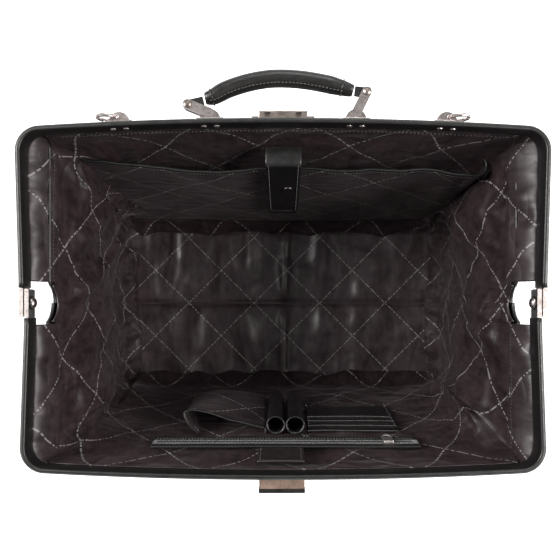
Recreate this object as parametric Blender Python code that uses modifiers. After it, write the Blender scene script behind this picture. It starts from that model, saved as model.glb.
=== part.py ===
# Doctor bag (Gladstone bag): leather shell on a nested steel frame, standing open.
# X is the bag's width, +Y the handle half, -Y the strap half, +Z up; the origin is on the
# underside of the base. Dimensions are in millimetres and the helpers turn them into metres.
import math

import bmesh
import bpy
from mathutils import Matrix, Vector

for old in list(bpy.data.objects):
    bpy.data.objects.remove(old, do_unlink=True)

MM = 0.001
GAP = 0.3  # clearance left between pieces that touch

# Base
BASE_W, BASE_D, BASE_T = 421.0, 221.0, 4.0
BOARD_W, BOARD_D = 409.0, 208.0
FLOOR_Z = 12.0
# Walls, hinged on the base edges
WALL_Y, WALL_Z = 108.0, 13.0
WALL_LEAN_BACK, WALL_LEAN_FRONT = 8.75, 7.6
WALL_LOW, WALL_TOP = 1.0, 282.0
WALL_HALF_LOW, WALL_HALF_TOP = 203.0, 207.5
WALL_T, LINING_T = 2.5, 1.0
# Gussets
GUSSET_X_LOW, GUSSET_X_TOP, GUSSET_TOP_Z = 208.0, 212.5, 298.0
NOTCH_HALF, NOTCH_BOTTOM_Z = 18.0, 256.0
# Frame strips
PIVOT_Z = 308.0
STRIP_H, STRIP_T = 18.0, 3.6
STEEL_T, LEATHER_T = 1.4, 0.8
CORNER_R = 21.0
HINGE_REACH = 12.0  # how far a strip runs past the hinge pin
BACK_HALF, BACK_HALF_CORNER, BACK_REACH, BACK_REACH_MID = 225.0, 228.4, 151.0, 157.5
FRONT_HALF, FRONT_HALF_CORNER, FRONT_REACH, FRONT_REACH_MID = 220.3, 224.0, 145.0, 150.5
PIN_R, PIN_HOLE_R = 2.2, 2.6
# Fittings on the back bar
HANDLE_LUG_X, RING_LUG_X = 63.0, 141.5
LUG_R, LUG_PIN_OUT, BLADE_T = 9.2, 6.6, 3.2
RIVET_X, RIVET_R = 5.6, 1.2
LINK_LEN, LINK_LEFT_DEG, LINK_RIGHT_DEG = 20.5, 158.5, 63.8
RING_R, RING_WIRE_R = 8.4, 1.7
# Lock and closing strap
LOCK_HALF, LOCK_Z_HALF, LOCK_OUT = 21.0, 7.0, 6.9
STRAP_X, STRAP_W, STRAP_LEN, STRAP_T, STRAP_DROOP = -1.0, 40.0, 14.6, 2.2, 15.0
STRAP_Y, STRAP_Z = -152.2, 300.0

bag = bpy.data.collections.new("doctor_bag")
cutters = bpy.data.collections.new("cutters")
bpy.context.scene.collection.children.link(bag)
bpy.context.scene.collection.children.link(cutters)


def material(name, colour, roughness, metallic=0.0):
    mat = bpy.data.materials.new(name)
    mat.use_nodes = True
    shader = mat.node_tree.nodes["Principled BSDF"]
    shader.inputs["Base Color"].default_value = (*colour, 1.0)
    shader.inputs["Roughness"].default_value = roughness
    shader.inputs["Metallic"].default_value = metallic
    return mat


def empty(name, loc, parent=None, rot_x=0.0):
    """A joint's frame, on its axis."""
    ob = bpy.data.objects.new(name, None)
    ob.empty_display_size = 0.02
    bag.objects.link(ob)
    ob.parent = parent
    ob.location = Vector(loc) * MM
    ob.rotation_euler = (math.radians(rot_x), 0, 0)
    return ob


def finish(ob, mat, parent=None, smooth=False):
    if mat is None:
        for coll in list(ob.users_collection):
            coll.objects.unlink(ob)
        cutters.objects.link(ob)
        ob.hide_render = True
        ob.display_type = "WIRE"
    else:
        ob.data.materials.append(mat)
    ob.parent = parent
    for face in ob.data.polygons:
        face.use_smooth = smooth
    return ob


def object_from(name, bm, mat, parent, loc=(0, 0, 0), rot=None, smooth=False):
    bmesh.ops.recalc_face_normals(bm, faces=bm.faces)
    mesh = bpy.data.meshes.new(name)
    bm.to_mesh(mesh)
    bm.free()
    ob = bpy.data.objects.new(name, mesh)
    bag.objects.link(ob)
    finish(ob, mat, parent, smooth)
    ob.location = Vector(loc) * MM
    if rot is not None:
        ob.rotation_euler = rot.to_euler()
    return ob


def block(name, low, high, mat, parent=None, edge=0.0, loc=(0, 0, 0), rot=None):
    """A box between two corners, its edges rounded by edge."""
    bm = bmesh.new()
    low, high = Vector(low) * MM, Vector(high) * MM
    size, mid = high - low, (high + low) / 2
    bmesh.ops.create_cube(bm, size=1.0, matrix=Matrix.LocRotScale(mid, None, size))
    ob = object_from(name, bm, mat, parent, loc, rot)
    if edge:
        bevel(ob, edge)
    return ob


def bevel(ob, width, segments=2, angle=40.0):
    mod = ob.modifiers.new("rounded", "BEVEL")
    mod.width = width * MM
    mod.segments = segments
    mod.limit_method = "ANGLE"
    mod.angle_limit = math.radians(angle)
    mod.harden_normals = False


def cut(ob, tool, operation="DIFFERENCE"):
    mod = ob.modifiers.new(tool.name, "BOOLEAN")
    mod.operation = operation
    mod.solver = "EXACT"
    mod.object = tool


# Directions that a sheet's own X, Y and thickness turn to
FLAT = Matrix.Identity(3)
UPRIGHT_X = Matrix.Rotation(math.radians(90), 3, "X")
UPRIGHT_Y = Matrix.Rotation(math.radians(90), 3, "Z") @ UPRIGHT_X


def sheet(name, outline, low, high, mat, parent=None, plane=FLAT, loc=(0, 0, 0), edge=0.0):
    """A sheet cut to an outline, filling low to high along the third direction."""
    curve = bpy.data.curves.new(name + "_outline", "CURVE")
    curve.dimensions = "2D"
    curve.fill_mode = "BOTH"
    curve.extrude = abs(high - low) / 2 * MM
    spline = curve.splines.new("POLY")
    spline.points.add(len(outline) - 1)
    for point, (u, v) in zip(spline.points, outline):
        point.co = (u * MM, v * MM, 0, 1)
    spline.use_cyclic_u = True
    guide = bpy.data.objects.new(name + "_outline", curve)
    cutters.objects.link(guide)
    view = bpy.context.evaluated_depsgraph_get()
    mesh = bpy.data.meshes.new_from_object(guide.evaluated_get(view))
    bm = bmesh.new()
    bm.from_mesh(mesh)
    bmesh.ops.remove_doubles(bm, verts=bm.verts, dist=1e-7)
    bpy.data.objects.remove(guide, do_unlink=True)
    bpy.data.meshes.remove(mesh)
    middle = Vector(loc) + plane @ Vector((0, 0, (low + high) / 2))
    ob = object_from(name, bm, mat, parent, middle, plane)
    if edge:
        bevel(ob, edge)
    return ob


def turned(name, profile, mat, parent=None, loc=(0, 0, 0), axis="Z", flip=1, steps=20):
    """A round piece from a profile of (radius, height), with its axis along X, Y or Z."""
    mesh = bpy.data.meshes.new(name)
    points = [(r * MM, 0, h * MM) for r, h in profile]
    mesh.from_pydata(points, [(i, i + 1) for i in range(len(points) - 1)], [])
    ob = bpy.data.objects.new(name, mesh)
    bag.objects.link(ob)
    screw = ob.modifiers.new("turned", "SCREW")
    screw.steps = screw.render_steps = steps
    screw.use_merge_vertices = True
    screw.merge_threshold = 0.00001
    screw.use_smooth_shade = True
    turn = {"Z": 0 if flip > 0 else 180, "X": 90 * flip, "Y": -90 * flip}[axis]
    about = "Y" if axis != "Y" else "X"
    finish(ob, mat, parent, True)
    ob.location = Vector(loc) * MM
    ob.rotation_euler = Matrix.Rotation(math.radians(turn), 3, about).to_euler()
    return ob


def cylinders(name, ends, radius, steps=12):
    """A cutter of separate round bars, each between two points."""
    bm = bmesh.new()
    for a, b in ends:
        a, b = Vector(a) * MM, Vector(b) * MM
        turn = (b - a).to_track_quat("Z", "Y")
        bmesh.ops.create_cone(bm, cap_ends=True, segments=steps, radius1=radius * MM,
                              radius2=radius * MM, depth=(b - a).length,
                              matrix=Matrix.LocRotScale((a + b) / 2, turn, None))
    return object_from(name, bm, None, None)


def rounded(corners, radius, steps=4):
    """The outline with its corners rounded; radius may be one number or one per corner."""
    out = []
    for i, corner in enumerate(corners):
        r = radius[i] if isinstance(radius, (list, tuple)) else radius
        here = Vector(corner)
        before, after = Vector(corners[i - 1]) - here, Vector(corners[(i + 1) % len(corners)]) - here
        if r <= 0:
            out.append(tuple(here))
            continue
        half = before.angle(after) / 2
        reach = min(r / math.tan(half), before.length * 0.49, after.length * 0.49)
        r = reach * math.tan(half)
        centre = here + (before.normalized() + after.normalized()).normalized() * (r / math.sin(half))
        start = here + before.normalized() * reach - centre
        end = here + after.normalized() * reach - centre
        sweep = start.angle_signed(end) * -1
        first = math.atan2(start.y, start.x)
        for k in range(steps + 1):
            a = first + sweep * k / steps
            out.append((centre.x + r * math.cos(a), centre.y + r * math.sin(a)))
    return out


def rectangle(x0, x1, y0, y1):
    return [(x0, y0), (x1, y0), (x1, y1), (x0, y1)]


def strip_edge(half, half_corner, reach, reach_mid, start_y, inset):
    """A U-shaped line in plan, inset from the strip's outer face: +X arm, bar, -X arm."""
    cx, cy = half_corner - CORNER_R, reach - CORNER_R
    right = [(half, start_y), (half, 16.0)]
    right += [(half + (half_corner - half) * (y - 16) / (cy - 16), y) for y in (50.0, 90.0)]
    arc = [k * 15 for k in range(7)]
    right += [(cx + CORNER_R * math.cos(math.radians(a)), cy + CORNER_R * math.sin(math.radians(a)))
              for a in arc]
    right += [(x, reach + (reach_mid - reach) * (1 - (x / cx) ** 2)) for x in (170, 130, 90, 45, 15)]
    path = [Vector(p) for p in right] + [Vector((-x, y)) for x, y in reversed(right)]
    line = []
    for i, p in enumerate(path):
        along = path[min(i + 1, len(path) - 1)] - path[max(i - 1, 0)]
        if i in (0, len(path) - 1):
            along = Vector((0, 1 if i == 0 else -1))
        normal = Vector((along.y, -along.x)).normalized()
        line.append(p - normal * inset)
    return line


def strip_outline(dims, start_y, outer, inner):
    a = strip_edge(*dims, start_y, outer)
    b = strip_edge(*dims, start_y, inner)
    return [tuple(p) for p in a] + [tuple(p) for p in reversed(b)]


def mirrored(outline):
    return [(x, -y) for x, y in reversed(outline)]


def bar_at(x):
    """The point of the back bar's outer face at x, and the bar's direction there."""
    cx = BACK_HALF_CORNER - CORNER_R
    y = BACK_REACH + (BACK_REACH_MID - BACK_REACH) * (1 - (x / cx) ** 2)
    slope = -2 * (BACK_REACH_MID - BACK_REACH) * x / cx**2
    return Vector((x, y, PIVOT_Z)), Matrix.Rotation(math.atan(slope), 3, "Z")


leather = material("black_leather", (0.018, 0.017, 0.017), 0.5)
edge_leather = material("gusset_leather", (0.02, 0.019, 0.019), 0.55)
trim_leather = material("trim_leather", (0.014, 0.013, 0.013), 0.42)
suede = material("brown_flesh_side", (0.22, 0.14, 0.1), 0.85)
satin = material("charcoal_satin", (0.035, 0.027, 0.028), 0.42)
card = material("stiffener_board", (0.12, 0.09, 0.06), 0.9)
steel = material("frame_steel", (0.42, 0.42, 0.43), 0.38, 1.0)
nickel = material("nickel", (0.62, 0.57, 0.54), 0.28, 1.0)
pewter = material("lock_nickel", (0.48, 0.43, 0.39), 0.36, 1.0)
dark_metal = material("gunmetal", (0.09, 0.085, 0.08), 0.4, 1.0)

# ---------------------------------------------------------------- base and gussets
base_outline = rounded(rectangle(-BASE_W / 2, BASE_W / 2, -BASE_D / 2, BASE_D / 2), 12)
base = empty("base_frame", (0, 0, 0))
sheet("base_leather", base_outline, 0, BASE_T, leather, base)
board_outline = rounded(rectangle(-BOARD_W / 2, BOARD_W / 2, -BOARD_D / 2, BOARD_D / 2), 6)
board_z = (BASE_T + GAP, FLOOR_Z - LINING_T - 2 * GAP)
sheet("base_board", board_outline, *board_z, card, base)
sheet("floor_lining", board_outline, FLOOR_Z - LINING_T - GAP, FLOOR_Z, satin, base)


def gusset_outline(low, top, inset, notch_half, notch_bottom):
    """Half the bag's end panel with the round cut-out that the hinge drops into, as (y, z)."""
    def edge_y(z, lean):
        return WALL_Y + (z - WALL_Z) * math.tan(math.radians(lean)) + 1.3 - inset

    back, front = WALL_LEAN_BACK, WALL_LEAN_FRONT
    centre = notch_bottom + notch_half
    arc = [(notch_half * math.cos(math.radians(a)), centre + notch_half * math.sin(math.radians(a)))
           for a in range(0, -181, -18)]
    arc = [(notch_half, top - 20)] + arc + [(-notch_half, top - 20)]
    slope = [(64, top - 2), (48, top - 7), (34, top - 14)]  # under the path of the closing bars
    points = [(-edge_y(low, front), low), (edge_y(low, back), low), (edge_y(top, back), top)]
    return points + slope + arc + [(-y, z) for y, z in reversed(slope)] + [(-edge_y(top, front), top)]


gusset_lean = math.degrees(math.atan((GUSSET_X_TOP - GUSSET_X_LOW) / (GUSSET_TOP_Z - BASE_T)))
for side, name in ((-1, "left"), (1, "right")):
    pivot = empty(name + "_gusset_frame", (side * GUSSET_X_LOW, 0, BASE_T), base)
    pivot.rotation_euler = (0, math.radians(gusset_lean) * side, 0)
    outline = gusset_outline(BASE_T + GAP, GUSSET_TOP_Z, 0, NOTCH_HALF, NOTCH_BOTTOM_Z)
    outline = [(y, z - BASE_T) for y, z in outline]
    spans = sorted((-side * 2.5, 0.0))
    sheet(name + "_gusset", outline, *spans, edge_leather, pivot, UPRIGHT_Y)
    outline = gusset_outline(FLOOR_Z + GAP, GUSSET_TOP_Z - 2, 4, NOTCH_HALF + 1, NOTCH_BOTTOM_Z - 1)
    outline = [(y, z - BASE_T) for y, z in outline]
    spans = sorted((-side * (2.5 + GAP + LINING_T), -side * (2.5 + GAP)))
    sheet(name + "_gusset_lining", outline, *spans, satin, pivot, UPRIGHT_Y)

# ---------------------------------------------------------------- walls
back_wall = empty("back_wall_hinge", (0, WALL_Y, WALL_Z), base, -WALL_LEAN_BACK)
front_wall = empty("front_wall_hinge", (0, -WALL_Y, WALL_Z), base, WALL_LEAN_FRONT)
FACE = WALL_T / 2 + GAP + LINING_T + GAP  # where a wall's pockets start, off its middle plane


def wall_panel(name, mat, parent, inward, near, far, trim):
    """A wall's sheet, near to far off its middle plane on the side it faces inward."""
    outline = rounded([(-WALL_HALF_LOW + trim, WALL_LOW + trim), (WALL_HALF_LOW - trim, WALL_LOW + trim),
                       (WALL_HALF_TOP - trim, WALL_TOP - trim),
                       (-WALL_HALF_TOP + trim, WALL_TOP - trim)], (4, 4, 10, 10), 3)
    spans = sorted((-inward * near, -inward * far))
    return sheet(name, outline, *spans, mat, parent, UPRIGHT_X)


half = WALL_T / 2
wall_panel("back_wall_leather", leather, back_wall, -1, -half, half, 0)
wall_panel("back_lining", satin, back_wall, -1, half + GAP, half + GAP + LINING_T, 0.5)
wall_panel("front_wall_leather", leather, front_wall, 1, -half, half, 0)
wall_panel("front_lining", satin, front_wall, 1, half + GAP, half + GAP + LINING_T, 0.5)

# Laptop pocket, open at the top, with its bound edge standing off the lining
POCKET_X, POCKET_LOW, POCKET_TOP = (-191.0, 196.0), 37.5, 241.0
pocket = sheet("laptop_pocket", [(-FACE, POCKET_LOW), (-FACE, POCKET_TOP), (-18.5, POCKET_TOP),
                                 (-18.7, POCKET_TOP - 7), (-17.2, POCKET_TOP - 8), (-13.5, POCKET_LOW)],
               *POCKET_X, satin, back_wall, UPRIGHT_Y)
room = sheet("laptop_pocket_room", [(-1, POCKET_LOW + 2), (-1, POCKET_TOP + 2), (-15.8, POCKET_TOP + 2),
                                    (-11.9, POCKET_LOW + 2)],
             POCKET_X[0] + 1.6, POCKET_X[1] - 1.6, None, back_wall, UPRIGHT_Y)
cut(pocket, room)

# Leather tab that hangs over the laptop pocket
TAB_HINGE = (-4.4, 259.2)
tab_pivot = empty("pocket_tab_hinge", (0, *TAB_HINGE), back_wall)
tab_outline = rounded([(-3.3, 258.0), (-3.3, 260.4), (-21.2, 260.4), (-21.2, 108.0), (-18.9, 108.0),
                       (-18.9, 258.0)], (0.6, 0.6, 3.4, 0.6, 0.6, 1.0), 3)
tab_outline = [(y - TAB_HINGE[0], z - TAB_HINGE[1]) for y, z in tab_outline]
sheet("pocket_tab", tab_outline, -16.2, 16.8, trim_leather, tab_pivot, UPRIGHT_Y)
turned("tab_snap", [(0, 2.0), (3.2, 1.8), (5.0, 1.0), (5.2, 0.0), (0, 0.0)], dark_metal, tab_pivot,
       (5.0, -21.2 - GAP - TAB_HINGE[0], 195.0 - TAB_HINGE[1]), "Y", -1)

# Front wall fittings: zip, card pocket, pen tubes, phone pocket, strap patch
zip_outline = [(FACE, 224), (4.6, 224), (4.6, 234.4), (5.5, 235), (5.5, 237), (4.6, 237.6), (4.6, 248),
               (FACE, 248)]
sheet("zip_tape", zip_outline, -125, 130, trim_leather, front_wall, UPRIGHT_Y)
slider_pivot = empty("zip_slider_path", (101, 5.5, 236), front_wall)
slider = block("zip_slider", (-4.5, GAP, -5.5), (4.5, 3.4, 5.5), nickel, slider_pivot, 0.7)


def torus(name, major, minor, mat, parent, loc, plane, major_steps=28, minor_steps=8):
    bm = bmesh.new()
    circle = bmesh.ops.create_circle(bm, segments=minor_steps, radius=minor * MM,
                                     matrix=Matrix.Translation((major * MM, 0, 0))
                                     @ Matrix.Rotation(math.radians(90), 4, "X"))
    bmesh.ops.spin(bm, geom=circle["verts"] + bm.edges[:], cent=(0, 0, 0), axis=(0, 0, 1),
                   angle=2 * math.pi, steps=major_steps, use_merge=True)
    bmesh.ops.remove_doubles(bm, verts=bm.verts, dist=1e-6)
    return object_from(name, bm, mat, parent, loc, plane, True)


cut(slider, torus("zip_pull", 4.6, 0.8, None, slider_pivot, (0, 2.0, -9.4), UPRIGHT_X, 20, 6), "UNION")

CARD_LOW, CARD_TOP = 114.0, 203.0
cards = block("card_pocket", (25, FACE, CARD_LOW), (117, FACE + 5.6, CARD_TOP), satin, front_wall)
cut(cards, block("card_room", (26.3, 1, CARD_LOW + 1.5), (115.7, FACE + 4.0, CARD_TOP + 3), None,
                 front_wall))
for i, height in enumerate((163.0, 175.5, 188.0)):
    cut(cards, block(f"card_slot_{i}", (27.5, FACE + 4.9, height), (114.5, FACE + 8, height + 1.2), None,
                     front_wall))

PEN_R, PEN_LOW, PEN_TOP = 9.5, 106.0, 209.0
for name, x in (("left", -7.3), ("right", 12.3)):
    turned(f"pen_loop_{name}", [(0, 1.2), (PEN_R - 1.2, 1.2), (PEN_R - 1.2, PEN_TOP - PEN_LOW),
                                (PEN_R, PEN_TOP - PEN_LOW), (PEN_R, 0), (0, 0)],
           satin, front_wall, (x, FACE + PEN_R, PEN_LOW))

PHONE_LOW, PHONE_TOP = 106.0, 204.0
phone_outline = [(-106, FACE), (-18, FACE), (-18, 10.5), (-50, 17.5), (-80, 24), (-96, 27), (-104, 25.5),
                 (-106, 22)]
phone_room = [(-104.6, 1), (-19.4, 1), (-19.4, 9.4), (-50, 16), (-80, 22.4), (-96, 25.5), (-103.2, 24.3),
              (-104.6, 21.6)]
phone = sheet("phone_pocket", phone_outline, PHONE_LOW, PHONE_TOP, satin, front_wall)
cut(phone, sheet("phone_room", phone_room, PHONE_LOW + 1.5, PHONE_TOP + 3, None, front_wall))
sheet("strap_patch", rounded(rectangle(-23, 19, 249.5, 280.5), 3, 3), -FACE - 1.8, -FACE, trim_leather,
      front_wall, UPRIGHT_X)

# ---------------------------------------------------------------- hinge pins
pins = empty("hinge_pin_axis", (0, 0, PIVOT_Z), base)
pin_profile = [(0, 228.2), (3.0, 227.9), (4.2, 226.8), (4.2, 225.3), (PIN_R, 225.3), (PIN_R, 216.6),
               (5.2, 216.6), (5.0, 215.4), (3.6, 214.1), (1.6, 213.4), (0, 213.3)]
washer_profile = [(2.5, 217.5), (6.0, 217.5), (6.0, 216.9), (2.5, 216.9), (2.5, 217.5)]
for side, name in ((-1, "left"), (1, "right")):
    turned(name + "_hinge_pin", pin_profile, nickel, pins, (0, 0, 0), "X", side)
    turned(name + "_hinge_washer", washer_profile, trim_leather, pins, (0, 0, 0), "X", side)

# ---------------------------------------------------------------- frame strips
back_frame = empty("back_frame_hinge", (0, 0, 0), pins)
front_frame = empty("front_frame_hinge", (0, 0, 0), pins)
low, high = -STRIP_H / 2, STRIP_H / 2
sleeve = (STRIP_T - STEEL_T) / 2
pin_holes = cylinders("pin_holes", [((210, 0, PIVOT_Z), (232, 0, PIVOT_Z)),
                                    ((-210, 0, PIVOT_Z), (-232, 0, PIVOT_Z))], PIN_HOLE_R, 20)
rivet_lines = []
for x in (-RING_LUG_X, -HANDLE_LUG_X, HANDLE_LUG_X, RING_LUG_X):
    face, turn = bar_at(x)
    for dx in (-RIVET_X, RIVET_X):
        rivet_lines.append((face + turn @ Vector((dx, -5.0, 0)), face + turn @ Vector((dx, 1.75, 0))))
rivet_holes = cylinders("rivet_holes", rivet_lines, RIVET_R + 0.3)


def frame_half(prefix, dims, body, flip, holes):
    shape = (lambda o: mirrored(o)) if flip else (lambda o: o)
    wrap = sheet(prefix + "_frame_leather", shape(strip_outline(dims, HINGE_REACH + 0.7, 0, STRIP_T)),
                 low, high, leather, body)
    channel = sheet(prefix + "_frame_channel",
                    shape(strip_outline(dims, HINGE_REACH - 2, LEATHER_T, STRIP_T - LEATHER_T)),
                    low - 2, high - LEATHER_T, None, body)
    if holes:
        cut(wrap, rivet_holes)
    cut(wrap, channel)
    core = sheet(prefix + "_frame_steel",
                 shape(strip_outline(dims, 0.5 - HINGE_REACH, sleeve, STRIP_T - sleeve)),
                 low + 1, high - LEATHER_T - GAP, steel, body)
    cut(core, pin_holes)
    if holes:
        cut(core, rivet_holes)
    for side, name in ((-1, "left"), (1, "right")):
        x0, x1 = dims[0] - STRIP_T, dims[0]
        outline = [(x1, low), (x1, high), (x0, high), (x0, high - LEATHER_T),
                   (x1 - LEATHER_T, high - LEATHER_T), (x1 - LEATHER_T, low)]
        outline = [(side * x, z) for x, z in outline]
        plate = sheet(f"{prefix}_hinge_plate_{name}", outline, -HINGE_REACH - GAP, HINGE_REACH,
                      nickel, body, UPRIGHT_X)
        if flip:
            plate.location.y = -plate.location.y
        cut(plate, pin_holes)


BACK = (BACK_HALF, BACK_HALF_CORNER, BACK_REACH, BACK_REACH_MID)
FRONT = (FRONT_HALF, FRONT_HALF_CORNER, FRONT_REACH, FRONT_REACH_MID)
frame_half("back", BACK, back_frame, False, True)
frame_half("front", FRONT, front_frame, True, False)


def lug(name, x, hole_x, hole_out, hole_r):
    """A foot on the bar's face with a round ear standing out of it; returns the hole's centre."""
    face, turn = bar_at(x)
    spot = face - Vector((0, 0, PIVOT_Z))
    foot = block(name, (-12, GAP, -6.5), (12, GAP + 1.8, 6.5), nickel, back_frame, 0.5, spot, turn)
    arc = [(LUG_R * math.cos(math.radians(a)), 1.4 + LUG_R * math.sin(math.radians(a)))
           for a in range(0, 181, 15)]
    ear = sheet(name + "_ear", arc, -BLADE_T / 2, BLADE_T / 2, None, back_frame, FLAT, spot)
    ear.rotation_euler = turn.to_euler()
    cut(foot, ear, "UNION")
    hole = face + turn @ Vector((hole_x, hole_out, 0))
    cut(foot, cylinders(name + "_hole", [(hole - Vector((0, 0, 9)), hole + Vector((0, 0, 9)))], hole_r, 16))
    cut(foot, rivet_holes)
    return hole


rivet_profile = [(0, 5.35), (1.4, 5.2), (2.5, 4.6), (2.8, 3.9), (RIVET_R, 3.9), (RIVET_R, -1.4), (0, -1.4)]
for i, x in enumerate((-RING_LUG_X, -HANDLE_LUG_X, HANDLE_LUG_X, RING_LUG_X)):
    face, turn = bar_at(x)
    for j, dx in enumerate((-RIVET_X, RIVET_X)):
        spot = face + turn @ Vector((dx, 0, 0)) - Vector((0, 0, PIVOT_Z))
        rivet = turned(f"lug_rivet_{2 * i + j + 1}", rivet_profile, nickel, back_frame, spot, "Y", -1, 12)
        rivet.rotation_euler = (turn @ Matrix.Rotation(math.radians(90), 3, "X")).to_euler()

pin_left = lug("handle_lug_left", -HANDLE_LUG_X, 0, LUG_PIN_OUT, 2.2)
pin_right = lug("handle_lug_right", HANDLE_LUG_X, 0, LUG_PIN_OUT, 2.2)
eye_left = lug("ring_lug_left", -RING_LUG_X, -2.3, LUG_PIN_OUT - 0.6, 2.3)
eye_right = lug("ring_lug_right", RING_LUG_X, 2.3, LUG_PIN_OUT - 0.6, 2.3)

# ---------------------------------------------------------------- rings
for side, name, eye in ((-1, "left", eye_left), (1, "right", eye_right)):
    pivot = empty(f"ring_{name}_hinge", eye - Vector((0, 0, PIVOT_Z)), back_frame)
    torus(f"ring_{name}", RING_R, RING_WIRE_R, nickel, pivot, (side * RING_R, 0, 0), UPRIGHT_X)

# ---------------------------------------------------------------- handle
PLATE_T = 2.4


def link(name, start, degrees, body):
    """Two side plates on two pins, from the lug's hole out to the handle's end."""
    along = Matrix.Rotation(math.radians(degrees), 3, "Z")
    r = 4.2
    ends = [(r * math.cos(math.radians(a)), r * math.sin(math.radians(a))) for a in range(90, 271, 20)]
    far = [(LINK_LEN - x, -y) for x, y in ends]
    inner = BLADE_T / 2 + 0.4
    top = sheet(name, ends + far, inner, inner + PLATE_T, nickel, body, FLAT)
    under = sheet(name + "_under", ends + far, -inner - PLATE_T, -inner, None, body, FLAT)
    top.rotation_euler = under.rotation_euler = along.to_euler()
    cut(top, under, "UNION")
    tip = Vector((LINK_LEN, 0, 0))
    bars = cylinders(name + "_pins", [(start + along @ p + Vector((0, 0, -inner - 1)),
                                       start + along @ p + Vector((0, 0, inner + 1)))
                                      for p in (Vector((0, 0, 0)), tip)], 1.7, 16)
    cut(top, bars, "UNION")
    return start + along @ tip


link_left = empty("handle_link_left_hinge", pin_left - Vector((0, 0, PIVOT_Z)), back_frame)
link_right = empty("handle_link_right_hinge", pin_right - Vector((0, 0, PIVOT_Z)), back_frame)
end_left = link("handle_link_left", pin_left, LINK_LEFT_DEG, link_left)
end_right = link("handle_link_right", pin_right, LINK_RIGHT_DEG, link_right)
screw_profile = [(0, 1.6), (1.9, 1.4), (3.2, 0.7), (3.4, 0), (0, 0)]
screw_z = BLADE_T / 2 + 0.4 + PLATE_T + GAP
for name, body, end, pin in (("left", link_left, end_left, pin_left),
                             ("right", link_right, end_right, pin_right)):
    turned(f"handle_screw_{name}", screw_profile, pewter, body, end - pin + Vector((0, 0, screw_z)))

handle = empty("handle_hinge", end_left - pin_left, link_left)
GRIP = [(-67.2, 174.8, 5.8), (-60.0, 178.9, 6.8), (-50.0, 184.0, 7.4), (-37.0, 188.7, 7.7),
        (-23.0, 192.2, 7.8), (-9.0, 194.0, 7.8), (5.0, 194.0, 7.8), (20.0, 192.6, 7.8), (36.0, 189.8, 7.7),
        (49.0, 186.6, 7.3), (60.5, 183.4, 6.2)]
curve = bpy.data.curves.new("handle_grip_line", "CURVE")
curve.dimensions = "3D"
curve.bevel_depth = MM
curve.bevel_resolution = 4
curve.use_fill_caps = True
spline = curve.splines.new("POLY")
spline.points.add(len(GRIP) - 1)
for point, (x, y, r) in zip(spline.points, GRIP):
    point.co = ((x - end_left.x) * MM, (y - end_left.y) * MM, 0, 1)
    point.radius = r
guide = bpy.data.objects.new("handle_grip_line", curve)
cutters.objects.link(guide)
mesh = bpy.data.meshes.new_from_object(guide.evaluated_get(bpy.context.evaluated_depsgraph_get()))
bm = bmesh.new()
bm.from_mesh(mesh)
bmesh.ops.remove_doubles(bm, verts=bm.verts, dist=1e-6)
bpy.data.objects.remove(guide, do_unlink=True)
object_from("handle_grip", bm, leather, handle, smooth=True)


def handle_tab(name, end, toward, hole_r):
    """The flat end piece between the grip and a link, bored for the link's pin."""
    run = (Vector(toward) - end.xy)
    along = Matrix.Rotation(math.atan2(run.y, run.x), 3, "Z")
    r = 4.4
    outline = [(r * math.cos(math.radians(a)), r * math.sin(math.radians(a))) for a in range(90, 271, 20)]
    outline += [(run.length, -4.0), (run.length, 4.0)]
    spot = end - end_left
    tab = sheet(name, outline, -BLADE_T / 2, BLADE_T / 2, trim_leather, handle, FLAT, spot)
    tab.rotation_euler = along.to_euler()
    hole = cylinders(name + "_hole", [(end - Vector((0, 0, 9)), end + Vector((0, 0, 9)))], hole_r, 16)
    cut(tab, hole)


first, last = Vector(GRIP[0][:2]), Vector(GRIP[-1][:2])
handle_tab("handle_tab_left", end_left, first + (end_left.xy - first).normalized() * 1.4, 2.1)
handle_tab("handle_tab_right", end_right, last + (end_right.xy - last).normalized() * 1.4, 2.6)

# ---------------------------------------------------------------- lock
lock = empty("lock_mount", (0, BACK_REACH_MID, 0), back_frame)
case = block("lock_case", (-LOCK_HALF, GAP, -LOCK_Z_HALF), (LOCK_HALF, LOCK_OUT, LOCK_Z_HALF), pewter,
             lock, 0.6)
cut(case, block("lock_ends", (-27, GAP, -5.5), (27, GAP + 2.3, 5.5), None, lock), "UNION")
for i, x in enumerate((-13.4, 13.4)):
    cut(case, block(f"lock_window_{i}", (x - 2.6, 1.6, 4.0), (x + 2.6, 5.6, 9), None, lock))
cut(case, block("lock_slot", (-6.8, 4.2, -1.9), (6.8, 9, 1.9), None, lock))
screws = [((x, BACK_REACH_MID - 2, PIVOT_Z), (x, BACK_REACH_MID + 9, PIVOT_Z)) for x in (-24.2, 24.2)]
cut(case, cylinders("lock_screw_holes", screws, 1.3))
slide_pivot = empty("lock_slide_path", (-2.0, 4.2, 0), lock)
block("lock_slide", (-4.5, GAP, -1.6), (4.5, 4.4, 1.6), nickel, slide_pivot, 0.5)
for name, x in (("left", -24.2), ("right", 24.2)):
    turned(f"lock_screw_{name}", [(0, 4.1), (1.6, 3.8), (2.0, 2.9), (1.0, 2.9), (1.0, 0.6), (0, 0.6)],
           nickel, lock, (x, 0, 0), "Y", 1, 12)

# ---------------------------------------------------------------- closing strap
strap = empty("strap_hinge", (STRAP_X, STRAP_Y, STRAP_Z - PIVOT_Z), front_frame, STRAP_DROOP)
half = STRAP_W / 2
block("closure_strap", (-half, -STRAP_LEN, -STRAP_T / 2), (half, 0.9, STRAP_T / 2), suede, strap, 0.4)
clip = block("strap_end_clip", (-half - 0.5, -STRAP_LEN - 0.9, -2.1), (half + 0.5, -STRAP_LEN + 3, 2.1),
             dark_metal, strap, 0.4)
cut(clip, block("strap_clip_slot", (-half - 3, -STRAP_LEN - GAP, -1.4), (half + 3, 5, 1.4), None, strap))
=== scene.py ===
import math

import bmesh
import bpy
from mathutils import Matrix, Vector, noise


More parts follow.
